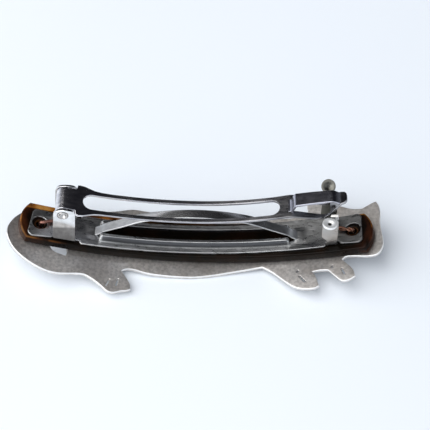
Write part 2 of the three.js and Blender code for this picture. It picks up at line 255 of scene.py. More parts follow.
def merge(*meshes):
    """One bmesh from several."""
    whole = bmesh.new()
    for mesh in meshes:
        held = bpy.data.meshes.new("held")
        mesh.to_mesh(held)
        mesh.free()
        whole.from_mesh(held)
        bpy.data.meshes.remove(held)
    return whole


def piece(name, mesh, body, material, stands_for=None):
    """A shown piece from a bmesh in millimetres."""
    bmesh.ops.recalc_face_normals(mesh, faces=mesh.faces)
    for v in mesh.verts:
        v.co *= MM
    for f in mesh.faces:
        f.smooth = True
    data = bpy.data.meshes.new(name)
    mesh.to_mesh(data)
    mesh.free()
    data.set_sharp_from_angle(angle=math.radians(40))
    data.materials.append(material)
    obj = bpy.data.objects.new(name, data)
    bpy.context.scene.collection.objects.link(obj)
    weighted = obj.modifiers.new("even_shading", "WEIGHTED_NORMAL")
    weighted.keep_sharp = True
    weighted.weight = 60
    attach(obj, body)
    if stands_for:
        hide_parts(stands_for)
    return obj


def on_arc(radius, centre):
    """Bends a flat sheet so that its upper face lies on an arc whose ends rise."""

    def shape(x, y, z):
        turn = math.asin(x / radius)
        reach = radius - z
        return Vector((reach * math.sin(turn), y, centre - reach * math.cos(turn)))

    return shape


def smoothstep(t):
    t = min(max(t, 0.0), 1.0)
    return t * t * (3 - 2 * t)


class Path:
    """A line in a plane that a sheet's length coordinate follows. The sheet's thickness lies to its right."""

    def __init__(self, points):
        self.p = np.array(points, float)
        steps = np.linalg.norm(np.diff(self.p, axis=0), axis=1)
        self.s = np.concatenate([[0], np.cumsum(steps)])
        ends = np.gradient(self.p, self.s, axis=0)
        self.d = ends / np.linalg.norm(ends, axis=1)[:, None]

    def length(self):
        return float(self.s[-1])

    def at(self, s, off=0.0):
        """The point at length s, moved to the left of the line by off."""
        a = [np.interp(s, self.s, self.p[:, i]) for i in (0, 1)]
        d = [np.interp(s, self.s, self.d[:, i]) for i in (0, 1)]
        scale = math.hypot(*d)
        return a[0] - off * d[1] / scale, a[1] + off * d[0] / scale

    def bends(self):
        """The length coordinates where a sheet needs edges to follow this path."""
        return [float(s) for s in self.s[1:-1]]

    def nearest(self, x):
        """Length coordinate of the last point of the path at that first coordinate."""
        hits = [
            i
            for i in range(len(self.p) - 1)
            if min(self.p[i, 0], self.p[i + 1, 0]) <= x <= max(self.p[i, 0], self.p[i + 1, 0])
        ]
        i = hits[-1]
        t = (x - self.p[i, 0]) / (self.p[i + 1, 0] - self.p[i, 0])
        return float(self.s[i] + t * (self.s[i + 1] - self.s[i]))


def smooth_path(points, steps):
    return Path(through(points, steps) + [points[-1]])


def follow(path):
    """Bends a flat sheet along a path that is its side view."""

    def shape(s, y, z):
        x, up = path.at(s, z)
        return Vector((x, y, up))

    return shape


def ring(mesh, centre, across, up, radius, steps):
    turns = [2 * math.pi * i / steps for i in range(steps)]
    return [mesh.verts.new(centre + radius * (math.cos(t) * across + math.sin(t) * up)) for t in turns]


# ---- Materials ----


class Nodes:
    """A material whose colours and roughness come from nodes, placed by the piece's own coordinates."""

    def __init__(self, name):
        self.material = bpy.data.materials.new(name)
        self.material.use_nodes = True
        self.tree = self.material.node_tree
        self.shader = self.tree.nodes["Principled BSDF"]
        self.place = self.tree.nodes.new("ShaderNodeTexCoord").outputs["Object"]

    def add(self, kind, **values):
        node = self.tree.nodes.new(kind)
        for key, value in values.items():
            if key in node.inputs:
                node.inputs[key].default_value = value
            else:
                setattr(node, key, value)
        return node

    def link(self, output, target):
        self.tree.links.new(output, target)

    def noise(self, scale, detail=4.0, roughness=0.5, stretch=None, distortion=0.0):
        node = self.add("ShaderNodeTexNoise", Scale=scale, Detail=detail, Roughness=roughness)
        node.inputs["Distortion"].default_value = distortion
        where = self.place
        if stretch:
            mapping = self.add("ShaderNodeMapping")
            mapping.inputs["Scale"].default_value = stretch
            self.link(where, mapping.inputs["Vector"])
            where = mapping.outputs["Vector"]
        self.link(where, node.inputs["Vector"])
        return node.outputs["Fac"]

    def ramp(self, fac, stops):
        node = self.add("ShaderNodeValToRGB")
        ramp = node.color_ramp
        while len(ramp.elements) < len(stops):
            ramp.elements.new(0.5)
        for element, (position, colour) in zip(ramp.elements, stops):
            element.position = position
            if not hasattr(colour, "__len__"):
                colour = (colour, colour, colour)
            element.color = (*colour, 1)
        self.link(fac, node.inputs["Fac"])
        return node.outputs["Color"]

    def mix(self, fac, a, b, blend="MIX"):
        node = self.add("ShaderNodeMix", data_type="RGBA", blend_type=blend)
        if hasattr(fac, "is_linked"):
            self.link(fac, node.inputs["Factor"])
        else:
            node.inputs["Factor"].default_value = fac
        colour_a, colour_b = node.inputs[6], node.inputs[7]
        for socket, value in ((colour_a, a), (colour_b, b)):
            if hasattr(value, "is_linked"):
                self.link(value, socket)
            else:
                socket.default_value = (*value, 1)
        mixed_colour = node.outputs[2]
        return mixed_colour

    def bump(self, height, strength, distance=0.0001):
        node = self.add("ShaderNodeBump", Strength=strength, Distance=distance)
        self.link(height, node.inputs["Height"])
        self.link(node.outputs["Normal"], self.shader.inputs["Normal"])


def along(n, stops, axis="X"):
    """A value that changes along an axis: stops are (place in mm, value)."""
    split = n.add("ShaderNodeSeparateXYZ")
    n.link(n.place, split.inputs["Vector"])
    low, high = stops[0][0], stops[-1][0]
    spread = n.add("ShaderNodeMapRange")
    spread.inputs["From Min"].default_value = low * MM
    spread.inputs["From Max"].default_value = high * MM
    n.link(split.outputs[axis], spread.inputs["Value"])
    fractions = [((place - low) / (high - low), value) for place, value in stops]
    return n.ramp(spread.outputs["Result"], fractions)


def marked(n, name):
    """A mark stored on the mesh, 0 where it has none."""
    node = n.add("ShaderNodeAttribute", attribute_name=name)
    return node.outputs["Fac"]


def steel(name, tone, rough, worn):
    """Plated steel: where the mesh is marked so, rougher and satiny with a painted sheen, and painted shade
    darkening the marked dip.
    """
    n = Nodes(name)
    cloud = n.noise(450, 5)
    fine = n.noise(1500, 3, stretch=(0.15, 1, 1))
    colour = n.ramp(cloud, [(0.3, [t * (1 - 0.45 * worn) for t in tone]), (0.7, tone)])
    satin_and_painted_sheen = marked(n, "satin_and_painted_sheen")
    # Painted sheen: the marked disc is painted near white, and made rougher below.
    colour = n.mix(satin_and_painted_sheen, colour, (0.95, 0.95, 0.94))
    # Painted shade: the marked dip is painted near black.
    n.link(n.mix(marked(n, "pit_shade"), colour, (0.05, 0.05, 0.045)), n.shader.inputs["Base Color"])
    mottled = n.mix(0.5, cloud, fine)
    dull = n.ramp(mottled, [(0.35, rough * (1 - 0.4 * worn)), (0.65, rough * (1 + worn))])
    n.link(n.mix(satin_and_painted_sheen, dull, (0.6, 0.6, 0.6)), n.shader.inputs["Roughness"])
    n.shader.inputs["Metallic"].default_value = 1.0
    n.bump(n.noise(900, 4), 0.12 * worn, 0.00004)
    return n.material


def arm_steel():
    """Polished at the hinge and on the tongue, brushed dull between them."""
    n = Nodes("arm_steel")
    cloud = n.noise(350, 4)
    brushed = n.noise(1400, 4, stretch=(0.05, 1, 1))
    dull_stops = [(-34, 0.3), (-31, 0.28), (-28.5, 0.2), (-24, 0.2), (-16, 0.3)]
    dull = along(n, [*dull_stops, (30, 0.34), (32, 0.15), (35, 0.14)])
    tone_stops = [(-34, 0.9), (-31, 0.85), (-28.5, 0.82), (-24, 0.7), (-16, 0.62)]
    tone = along(n, [*tone_stops, (14, 0.5), (20, 0.21), (30, 0.26), (35, 0.4)])
    streaks = n.ramp(n.mix(0.6, cloud, brushed), [(0.35, (0.62, 0.62, 0.68)), (0.62, (1.0, 0.98, 1.0))])
    n.link(n.mix(1.0, tone, streaks, "MULTIPLY"), n.shader.inputs["Base Color"])
    polish = n.ramp(brushed, [(0.3, 0.7), (0.7, 1.0)])
    n.link(n.mix(1.0, dull, polish, "MULTIPLY"), n.shader.inputs["Roughness"])
    n.shader.inputs["Metallic"].default_value = 1.0
    n.bump(brushed, 0.1, 0.00002)
    return n.material


def base_steel():
    """Scratched and dull, with painted shade making the outer walls of the ribs dark and their tops a little
    darker.
    """
    n = Nodes("base_steel")
    cloud = n.noise(380, 5, 0.65)
    scratch = n.noise(900, 5, 0.7, stretch=(0.25, 1, 1), distortion=1.2)
    speck = n.noise(2600, 2)
    colour = n.ramp(cloud, [(0.3, (0.7, 0.7, 0.69)), (0.7, (0.95, 0.95, 0.93))])
    colour = n.mix(0.5, colour, n.ramp(scratch, [(0.4, 0.35), (0.56, 0.62), (0.66, 0.95)]))
    colour = n.mix(n.ramp(speck, [(0.66, 0.0), (0.72, 1.0)]), colour, (0.95, 0.95, 0.93))
    tone_stops = [(-40, 0.72), (-33, 0.72), (-29, 1.0), (-23, 1.0), (-20, 0.68)]
    tone = along(n, [*tone_stops, (20, 0.66), (30, 0.62), (34, 0.38), (40, 0.34)])
    colour = n.mix(1.0, colour, tone, "MULTIPLY")
    colour = n.mix(marked(n, "shade"), colour, (0.1, 0.1, 0.105))
    n.link(colour, n.shader.inputs["Base Color"])
    n.link(n.ramp(scratch, [(0.3, 0.22), (0.7, 0.42)]), n.shader.inputs["Roughness"])
    n.shader.inputs["Metallic"].default_value = 1.0
    n.bump(n.mix(0.4, scratch, speck), 0.22, 0.00005)
    return n.material


def ear_steel():
    """Polished, with painted reflection: dark towards the foot, light above."""
    n = Nodes("ear_steel")
    # Painted reflection: dark below z 12.2 to 13, where the polished face mirrors the silver and the bar,
    # light above, where it mirrors the floor.
    tone = along(n, [(8, 0.22), (12.2, 0.32), (13.0, 0.8), (19, 0.84)], "Z")
    mottled = n.ramp(n.noise(700, 4), [(0.35, 0.85), (0.6, 1.0)])
    n.link(n.mix(1.0, tone, mottled, "MULTIPLY"), n.shader.inputs["Base Color"])
    n.link(n.ramp(n.noise(500, 3), [(0.35, 0.08), (0.65, 0.15)]), n.shader.inputs["Roughness"])
    n.shader.inputs["Metallic"].default_value = 1.0
    return n.material


def leaf_steel():
    """Brushed across, with painted light making the hinge side's ramp lighter."""
    n = Nodes("leaf_steel")
    brushed = n.noise(1300, 4, stretch=(0.2, 1, 1))
    cloud = n.noise(420, 4)
    # Painted light: the hinge side's ramp, which faces the key light, is painted lighter.
    tone = along(n, [(-25, 0.5), (-22, 0.8), (-12, 0.88), (-7, 0.6), (12, 0.58), (25, 0.6)])
    streaks = n.ramp(n.mix(0.5, cloud, brushed), [(0.35, 0.7), (0.62, 1.0)])
    n.link(n.mix(1.0, tone, streaks, "MULTIPLY"), n.shader.inputs["Base Color"])
    dull = along(n, [(-25, 0.42), (-12, 0.36), (-8, 0.24), (12, 0.24), (25, 0.34)])
    n.link(dull, n.shader.inputs["Roughness"])
    n.shader.inputs["Metallic"].default_value = 1.0
    n.bump(brushed, 0.12, 0.00003)
    return n.material


def silver():
    """Worn silver of satiny finish with cloudy tarnish, and a painted highlight on its rounded edge."""
    n = Nodes("silver")
    cloud = n.noise(220, 6, 0.6)
    speck = n.noise(1400, 3)
    colour = n.ramp(cloud, [(0.3, (0.58, 0.54, 0.505)), (0.7, (0.86, 0.83, 0.8))])
    colour = n.mix(0.35, colour, n.ramp(speck, [(0.35, 0.2), (0.6, 0.95)]), "MULTIPLY")
    tarnish = n.ramp(n.noise(90, 4, 0.6), [(0.52, 0.0), (0.7, 0.35)])
    colour = n.mix(tarnish, colour, (0.36, 0.31, 0.27))
    tone = along(n, [(-46, 1.15), (-14, 1.15), (0, 0.9), (22, 0.98), (32, 0.93), (40, 0.78)])
    colour = n.mix(1.0, colour, tone, "MULTIPLY")
    # Painted highlight: the marked rounded edge is painted near white.
    colour = n.mix(marked(n, "rim_light"), colour, (0.95, 0.94, 0.92))
    n.link(colour, n.shader.inputs["Base Color"])
    n.link(n.ramp(cloud, [(0.3, 0.5), (0.7, 0.38)]), n.shader.inputs["Roughness"])
    n.shader.inputs["Metallic"].default_value = 1.0
    n.bump(n.noise(1100, 5), 0.25, 0.00005)
    return n.material


def acetate():
    """Nearly black tortoiseshell, brown towards the ends, with painted light glowing amber on the marked
    edges.
    """
    n = Nodes("acetate")
    cloud = n.noise(170, 3, 0.55, distortion=0.6)
    dark = n.ramp(
        cloud, [(0.42, (0.004, 0.003, 0.002)), (0.6, (0.008, 0.004, 0.002)), (0.78, (0.012, 0.005, 0.003))]
    )
    ends = along(n, [(-43, 0.7), (-39, 0.45), (-36, 0.0), (37, 0.0), (39.5, 0.4), (43, 0.9)])
    streak = n.noise(300, 4, stretch=(1, 0.4, 1))
    brown = n.ramp(
        streak, [(0.42, (0.006, 0.003, 0.002)), (0.58, (0.05, 0.014, 0.006)), (0.75, (0.16, 0.055, 0.014))]
    )
    glow = n.noise(260, 4)
    lit = n.ramp(glow, [(0.38, (0.03, 0.01, 0.004)), (0.52, (0.2, 0.07, 0.014)), (0.7, (0.42, 0.2, 0.05))])
    # Painted light: the marked edges glow amber, as where light shines through thin acetate.
    n.link(n.mix(marked(n, "rim_light"), n.mix(ends, dark, brown), lit), n.shader.inputs["Base Color"])
    n.shader.inputs["Roughness"].default_value = 0.22
    n.shader.inputs["Specular IOR Level"].default_value = 0.08
    return n.material


def copper(name, tone):
    n = Nodes(name)
    cloud = n.noise(900, 4)
    tarnished = [t * 0.35 for t in tone]
    n.link(n.ramp(cloud, [(0.35, tarnished), (0.65, tone)]), n.shader.inputs["Base Color"])
    n.shader.inputs["Metallic"].default_value = 1.0
    n.shader.inputs["Roughness"].default_value = 0.32
    return n.material


SILVER = silver()
ACETATE = acetate()
BASE_STEEL = base_steel()
ARM_STEEL = arm_steel()
LEAF_STEEL = leaf_steel()
EAR_STEEL = ear_steel()
TONGUE_STEEL = steel("tongue_steel", (0.5, 0.5, 0.56), 0.16, 0.4)
FRONT_WING_STEEL = steel("front_wing_steel", (0.5, 0.49, 0.475), 0.3, 0.4)
# The rear wing is the same steel as the front one; its darker tone is painted shade.
REAR_WING_STEEL = steel("rear_wing_steel", (0.17, 0.165, 0.145), 0.3, 0.6)
PIN_STEEL = steel("pin_steel", (0.62, 0.6, 0.58), 0.13, 0.4)
LEFT_COPPER = copper("left_copper", (0.75, 0.36, 0.28))
RIGHT_COPPER = copper("right_copper", (0.36, 0.18, 0.12))

# ---- Silver cat ----


def cat_loop():
    """The cat's outline from the tip of its right ear, anticlockwise seen from the clip side."""
    stretches = [
        [(43.5, 9.7), (42.3, 9.3), (40.1, 8.2)],
        [(40.1, 8.2), (37.6, 8.7), (34.6, 10.2)],
        [(34.6, 10.2), (31.5, 12.3), (28.2, 13.8)],
        [(28.2, 13.8), (27.1, 11.6), (27.2, 9.1)],
        [(27.2, 9.1), (23.5, 7.9), (13, 8.4), (0, 9.4), (-11.3, 10.0), (-16, 10.3), (-21, 9.0), (-30, 7.9)]
        + [(-37.5, 6.9), (-42.1, 4.3), (-44.6, 0.8), (-45.1, -2.8), (-42.8, -7.1), (-37.9, -10.4)]
        + [(-33.2, -11.5), (-27.4, -10.7), (-25, -11.5), (-22.5, -13.3), (-21, -14.7), (-19.4, -15.0)]
        + [(-17.5, -14.3), (-16.2, -14.1), (-15.3, -13.6)],
        [(-15.3, -13.6), (-15.6, -11.9), (-17.7, -8.4)],
        [(-17.7, -8.4), (-16.4, -7.8), (-14.5, -7.9), (-11, -8.7), (-5, -9.1), (1, -9.0), (10.7, -7.3)]
        + [(16, -6.4)],
        [(16, -6.4), (18.5, -8.2), (22, -11.6), (24.1, -13.1), (26.2, -13.6), (28.2, -13.6), (29.3, -13.0)],
        [(29.3, -13.0), (28.6, -10.2), (27.9, -8.8)],
        [(27.9, -8.8), (29.7, -8.6), (31.5, -8.8)],
        [(31.5, -8.8), (32.9, -10.5), (34.6, -12.3), (36.3, -12.3), (37.7, -11.5)],
        [(37.7, -11.5), (37.2, -9.2), (34.9, -6.2)],
        [(34.9, -6.2), (35.9, -5.5), (38, -5.7), (41.0, -6.3), (43.2, -6.0), (44.4, -3.9), (44.5, -1.5)]
        + [(44.1, 3.0), (44.3, 6.0), (44.1, 8.2), (43.5, 9.7)],
    ]
    return [p for stretch in stretches for p in through(stretch, 5)]


# The pierced strokes that part the toes: middle x, y, length and angle from +X in degrees.
TOES = [
    (-20.8, -12.3, 2.2, 70),
    (-18.6, -12.0, 2.2, 80),
    (25.4, -10.6, 2.4, 125),
    (24.4, -8.3, 0.7, 60),
    (35.0, -9.6, 1.9, 110),
    (32.5, -7.9, 0.8, 60),
]


def toe_loop(x, y, length, degrees):
    turn = math.radians(degrees)
    c, s = math.cos(turn), math.sin(turn)
    straight = slot_loop(-length / 2, length / 2, TOE_HALF_WIDTH, steps=4)
    return [(x + c * u - s * v, y + s * u + c * v) for u, v in straight]


def tail_gap():
    """The gap inside the curl of the tail."""
    return through([(-31, -6.4), (-30.7, -4.4), (-32.2, -1.6), (-35.4, -2.6), (-34.2, -5.4), (-31, -6.4)], 5)


def cat_rim(x, y):
    """The cat's edge gets a painted highlight, and the edges of its toe strokes don't."""
    clear = all(math.hypot(x - toe_x, y - toe_y) > length / 2 + 0.4 for toe_x, toe_y, length, _ in TOES)
    return 1.0 if clear else 0.0


def make_cat():
    loops = [cat_loop(), tail_gap(), *[toe_loop(*t) for t in TOES]]
    sheet = flat_sheet(loops, PLATE_THICK, PLATE_ROUND, 3)
    cut(sheet, 0, every(-45, 45, 1.5))
    mark_rim(sheet, PLATE_ROUND, cat_rim)
    formed(sheet, on_arc(ARC_CENTRE - PLATE_THICK, ARC_CENTRE))
    piece("silver_cat", sheet, "clip", SILVER, "silver_cat_plate")


# ---- Acetate bar ----


def bar_rim(x, y):
    """How much painted amber light the bar's upper edge gets: most on the left of the far side, and some
    round the holes.
    """
    if math.hypot(abs(x) - HOLE_X, y) < 1.6:
        return 0.3
    if y > 0:
        return 0.05 + 0.95 * smoothstep((-15 - x) / 6) + 0.5 * smoothstep((x - 30) / 6)
    return 0.4 * smoothstep((-30 - x) / 5)


def make_bar():
    end_radius = (BAR_HALF_WIDTH**2 + BAR_END_BULGE**2) / (2 * BAR_END_BULGE)
    half = math.degrees(math.asin(BAR_HALF_WIDTH / end_radius))
    centre = BAR_HALF_LENGTH - end_radius
    loop = arc(centre, 0, end_radius, -half, half, 16)
    loop += arc(-centre, 0, end_radius, 180 - half, 180 + half, 16)
    c, s = math.cos(BAR_SKEW), math.sin(BAR_SKEW)
    loop = [(x * c - y * s, x * s + y * c + BAR_SHIFT_Y) for x, y in loop]
    holes = [circle(side * HOLE_X, 0, WIRE_HOLE_RADIUS, 16) for side in (-1, 1)]
    sheet = flat_sheet([loop, *holes], BAR_THICK, BAR_ROUND, 2)
    # The amber on the far edge is painted light, as through the thin acetate.
    far_band = 4.5  # the far edge is amber from here out
    cut(sheet, 0, every(-41, 41, 1.5))
    cut(sheet, 1, [far_band - 0.2, far_band + 0.05])
    band_depth = 0.3
    mark_rim(sheet, band_depth, bar_rim)
    rim_light = sheet.verts.layers.float["rim_light"]
    for v in sheet.verts:
        if v.co.y > far_band and v.co.z > -band_depth:
            v[rim_light] = bar_rim(v.co.x, v.co.y)
    formed(sheet, on_arc(ARC_CENTRE - BAR_TOP, ARC_CENTRE))
    piece("acetate_bar", sheet, "clip", ACETATE, "tortoiseshell_bar")


# ---- Clip base with its ears ----


def base_loop():
    """The base's outline, notched for the ears on the left and for the wings on the right."""
    notch = WING_FACE - SHEET - 0.1
    end = CLIP_END
    near = [(-34.6, -3.6), (-34.2, -3.3), (-28.0, -3.3), (-27.7, -3.9), (-27.3, -4.1), (-10, -4.1)]
    near += [(10, -4.1), (30.4, -4.0), (30.9, -3.7), (30.9, -notch), (33.9, -notch), (34.5, -3.6)]
    near += arc(end - TAB_CORNER, -2.8, TAB_CORNER, 270, 360, 5)
    far = arc(end - TAB_CORNER, 3.3, TAB_CORNER, 0, 90, 5)
    far += [(34.5, 4.3), (33.9, notch), (30.9, notch), (30.9, 4.5), (30.4, 4.85)]
    far += [(20, 4.6), (10, 4.15), (-10, 4.1), (-27.3, 4.1), (-27.7, 3.9), (-28.0, 3.3)]
    far += [(-34.2, 3.3), (-34.6, 3.6)]
    left = arc(-end + 1.45, 2.7, TAB_CORNER, 90, 180, 5) + arc(-end + 0.75, -2.8, TAB_CORNER, 180, 270, 5)
    return near + far + left


def rounded(t):
    """Quarter of a round: 0 at t 0, level at 1 from t 1 on."""
    t = min(max(t, 0.0), 1.0)
    return math.sqrt(1 - (1 - t) ** 2)


def rib(x, y):
    """Height of the ribs beside the window, and of the low domes past its ends that the leaf runs into."""
    ends = rounded((x - RIB_FROM) / 0.7) * rounded((RIB_TO - x) / 0.7)
    ribs = RIB_HEIGHT * rounded((RIB_ROOT - abs(y)) / RIB_ROUND) * ends
    past = smoothstep((abs(x) - 23.5) / 0.5) * smoothstep((27 - abs(x)) / 2.5)
    return max(ribs, 0.2 * past * smoothstep((2.6 - abs(y)) / 1.5))


def ear_meshes():
    """The two ears, folded up from the base's edges, with the pin's hole."""
    inside = EAR_FACE - SHEET
    foot = inside - EAR_BEND
    turns = np.linspace(0, math.pi / 2, 9)
    fold = [(foot + EAR_BEND * math.sin(t), EAR_BEND * (1 - math.cos(t))) for t in turns]
    path = Path([(foot - 0.7, 0), *fold, (inside, 12.5)])
    bent = path.s[-2] - EAR_BEND  # pattern length of a point less its height
    top = EAR_TOP
    profile = [(-34.1, 0.0), (-28.9, 0.0)]
    head = [(-28.35, top - 3), (-28.28, top - 1.4), (-28.6, top - 0.6), (-29.4, top - 0.15), (-30.8, top)]
    head += [(-32.2, top - 0.15), (-33.0, top - 0.6), (-33.4, top - 1.4), (-33.5, top - 3)]
    outline = profile + [(x, z - BASE_TOP - rise(x) + bent) for x, z in through(head, 4) + [head[-1]]]
    hole = [(x, z - BASE_TOP - rise(x) + bent) for x, z in circle(HINGE.x, HINGE.z, PIN_RADIUS + 0.12, 28)]
    meshes = []
    for side in (-1, 1):
        sheet = flat_sheet([outline, hole], SHEET, 0.08)
        cut(sheet, 1, path.bends())

        def shape(x, s, off, side=side):
            across, up = path.at(s, off)
            return Vector((x, side * across, BASE_TOP + rise(x) + up))

        meshes.append(formed(sheet, shape))
    return meshes


def make_base():
    window = slot_loop(-WINDOW_END, WINDOW_END, WINDOW_HALF_WIDTH)
    holes = [circle(side * HOLE_X, 0, HOLE_RADIUS, 36) for side in (-1, 1)]
    sheet = flat_sheet([base_loop(), window, *holes], SHEET, 0.12)
    left_end = every(-27, -23.4, 0.3) + every(-23.3, -22.5, 0.1)
    right_end = every(21.8, 22.7, 0.1) + every(23, 27, 0.3)
    cut(sheet, 0, every(-39, -28, 1) + left_end + every(-21, 21, 1.5) + right_end + every(28, 39, 1))
    wall = [1.8, 2.0, 2.2, 2.3, 2.4, 2.48, 2.55, 2.6, 2.64, 2.67, 2.685, RIB_ROOT, 3.2]
    cut(sheet, 1, [-y for y in reversed(wall)] + [0] + wall)
    bend = on_arc(BASE_RADIUS, ARC_CENTRE)
    shade = sheet.verts.layers.float.new("shade")
    for v in sheet.verts:
        on_rib = smoothstep((v.co.x - RIB_FROM - 0.3) / 0.6) * smoothstep((RIB_TO - 0.3 - v.co.x) / 0.6)
        across = abs(v.co.y)
        v[shade] = on_rib * (1.0 if 2.35 < across < 2.69 else 0.3 if across < 2.25 else 0.0)
    formed(sheet, lambda x, y, z: bend(x, y, z + rib(x, y)))
    piece("steel_base", sheet, "clip", BASE_STEEL, "clip_base")
    piece("hinge_ears", merge(*ear_meshes()), "clip", EAR_STEEL)


# ---- Pin ----


def make_pin():
    """A round pin with a dished end on each side."""
    half = (PIN_HIGH.y - PIN_LOW.y) / 2
    r = PIN_RADIUS
    profile = [(0, half - 0.8), (0.3, half - 0.74), (0.62, half - 0.5), (0.86, half - 0.1), (0.96, half)]
    profile += [(r - 0.07, half - 0.02), (r, half - 0.1), (r, 0.0)]
    profile += [(q, -y) for q, y in reversed(profile[:-1])]
    mesh = bmesh.new()
    rings = []
    steps = 40
    for q, y in profile:
        if q == 0:
            rings.append([mesh.verts.new((HINGE.x, y, HINGE.z))])
        else:
            centre = Vector((HINGE.x, y, HINGE.z))
            rings.append(ring(mesh, centre, Vector((1, 0, 0)), Vector((0, 0, 1)), q, steps))
    for a, b in zip(rings, rings[1:]):
        for i in range(steps):
            j = (i + 1) % steps
            if len(a) == 1:
                mesh.faces.new((a[0], b[i], b[j]))
            elif len(b) == 1:
                mesh.faces.new((a[i], b[0], a[j]))
            else:
                mesh.faces.new((a[i], b[i], b[j], a[j]))
    piece("pivot_pin", mesh, "clip", PIN_STEEL, "hinge_pin")


# ---- Arm ----


def arm_path():
    """Side view of the arm's upper face: curled end, long arc, step, tongue, upturned tip."""
    meet = 90 - math.degrees(math.asin(-HINGE.x / (ARM_RADIUS + KNUCKLE_RADIUS)))
    curl = [(HINGE.x + q[0], HINGE.z + q[1]) for q in arc(0, 0, KNUCKLE_RADIUS, 335, meet, 30)]
    long = [(x, ARM_TOP + rise(x, ARM_RADIUS)) for x in every(-29.5, 0, 1.0)]
    long += [(x, ARM_TOP + rise(x, ARM_RIGHT_RADIUS)) for x in every(1, 20, 1.0)]
    rails = [(21.0, 13.66), (22.4, 13.9), (23.8, 13.75), (26.2, 13.35), (28.6, 12.95), (30.0, 12.85)]
    rails += [(31.0, 13.3), (31.8, 14.4), (32.5, 15.9), (33.2, 17.0), (34.0, 17.4), (34.95, 17.75)]
    rails = [(x, BASE_TOP + z) for x, z in rails]
    return Path(curl + long + through(rails, 4) + [rails[-1]])


def make_arm():
    path = arm_path()
    curl_end = path.nearest(-30.3)
    near = [(0.0, -KNUCKLE_HALF_WIDTH), (curl_end, -KNUCKLE_HALF_WIDTH)]
    edge = [(-28.3, -3.15), (-28.15, -3.9), (-28.05, -4.4), (-27.5, -4.5), (-26.4, -4.35), (-25.2, -3.9)]
    edge += [(-24.0, -3.5), (-22.5, -3.3), (-20, -3.22), (18, -3.22), (22.8, -3.3), (26, -3.15)]
    edge += [(28.5, -2.8), (30.2, -2.3), (31, -2.0), (33.4, -1.85), (34.4, -1.6), (34.8, -1.1), (34.9, -0.4)]
    near += [(path.nearest(x), y) for x, y in edge]
    slot = slot_loop(path.nearest(SLOT_FROM), path.nearest(SLOT_TO), SLOT_HALF_WIDTH, steps=20)
    opening = mirrored([(path.nearest(x), -TONGUE_CUT) for x in (TONGUE_FROM, TONGUE_TO)])
    sheet = flat_sheet([mirrored(near), slot, opening], SHEET, 0.12)
    cut(sheet, 0, path.bends())
    formed(sheet, follow(path))
    piece("lever_arm", sheet, "arm", ARM_STEEL, "clasp_arm")
    piece("raised_tongue", tongue_mesh(), "arm", TONGUE_STEEL)


def tongue_mesh():
    """The tongue, raised out of the arm's plate between its rails, and joined to the turned-up tip."""
    points = [(21.3, 13.7), (22.1, 14.05), (22.5, 15.1), (22.95, 16.0), (23.9, 16.3), (26.6, 16.95)]
    points += [(31.0, 17.8), (31.9, 17.8), (32.6, 17.55), (33.4, 17.12)]
    points = [(x, BASE_TOP + z) for x, z in points]
    path = smooth_path(points, 4)
    near = [(0, -1.75), (path.nearest(23.0), -1.85), (path.length(), -1.65)]
    sheet = flat_sheet([mirrored(near)], SHEET)
    cut(sheet, 0, path.bends())
    return formed(sheet, follow(path))


# ---- Tension leaf ----


def make_leaf():
    """A strip bowed up in the middle, its ends sloping down beside the window."""
    crown = LEAF_HIGH.z - BASE_TOP
    side = [(6.5, -0.5), (12.8, -1.9), (17.6, -4.05), (21.8, -5.95), (23.2, -6.95), (24.6, -7.75)]
    left = [(-x, z) for x, z in reversed(side)]
    points = [(x, BASE_TOP + crown + z) for x, z in [*left, (0, 0), *side]]
    path = smooth_path(points, 8)
    length = path.length()
    near = [(0, -1.1), (0.2, -1.23), (length - 0.2, -1.23), (length, -1.1)]
    sheet = flat_sheet([mirrored(near)], LEAF_THICK)
    cut(sheet, 0, path.bends())
    piece("bowed_leaf", formed(sheet, follow(path)), "clip", LEAF_STEEL, "tension_leaf")


# ---- Latch wings ----


def wing_path(tilt, corner_z):
    """Across and up, from the foot to the disc's outer edge; the sheet's outer face."""
    bend = 0.5
    sweep = math.pi / 2 - tilt
    turns = np.linspace(0, sweep, 7)
    turned = [(WING_FACE + bend * (1 - math.cos(t)), corner_z + bend * math.sin(t)) for t in turns]
    last = turned[-1]
    out = (last[0] + 4 * math.cos(tilt), last[1] + 4 * math.sin(tilt))
    return Path([(WING_FACE, BASE_TOP + rise(WING_X) - SHEET), *turned, out])


# Each wing's name, side, body and CAD node, its disc's tilt in degrees, the height of its bend above the
# base, and how far past the bend its disc starts.
WINGS = [
    ("front_wing", -1, "wing_front", "latch_wing_front", 10, 13.3, 0.1),
    ("rear_wing", 1, "wing_rear", "latch_wing_rear", 33, 13.15, 0.2),
]


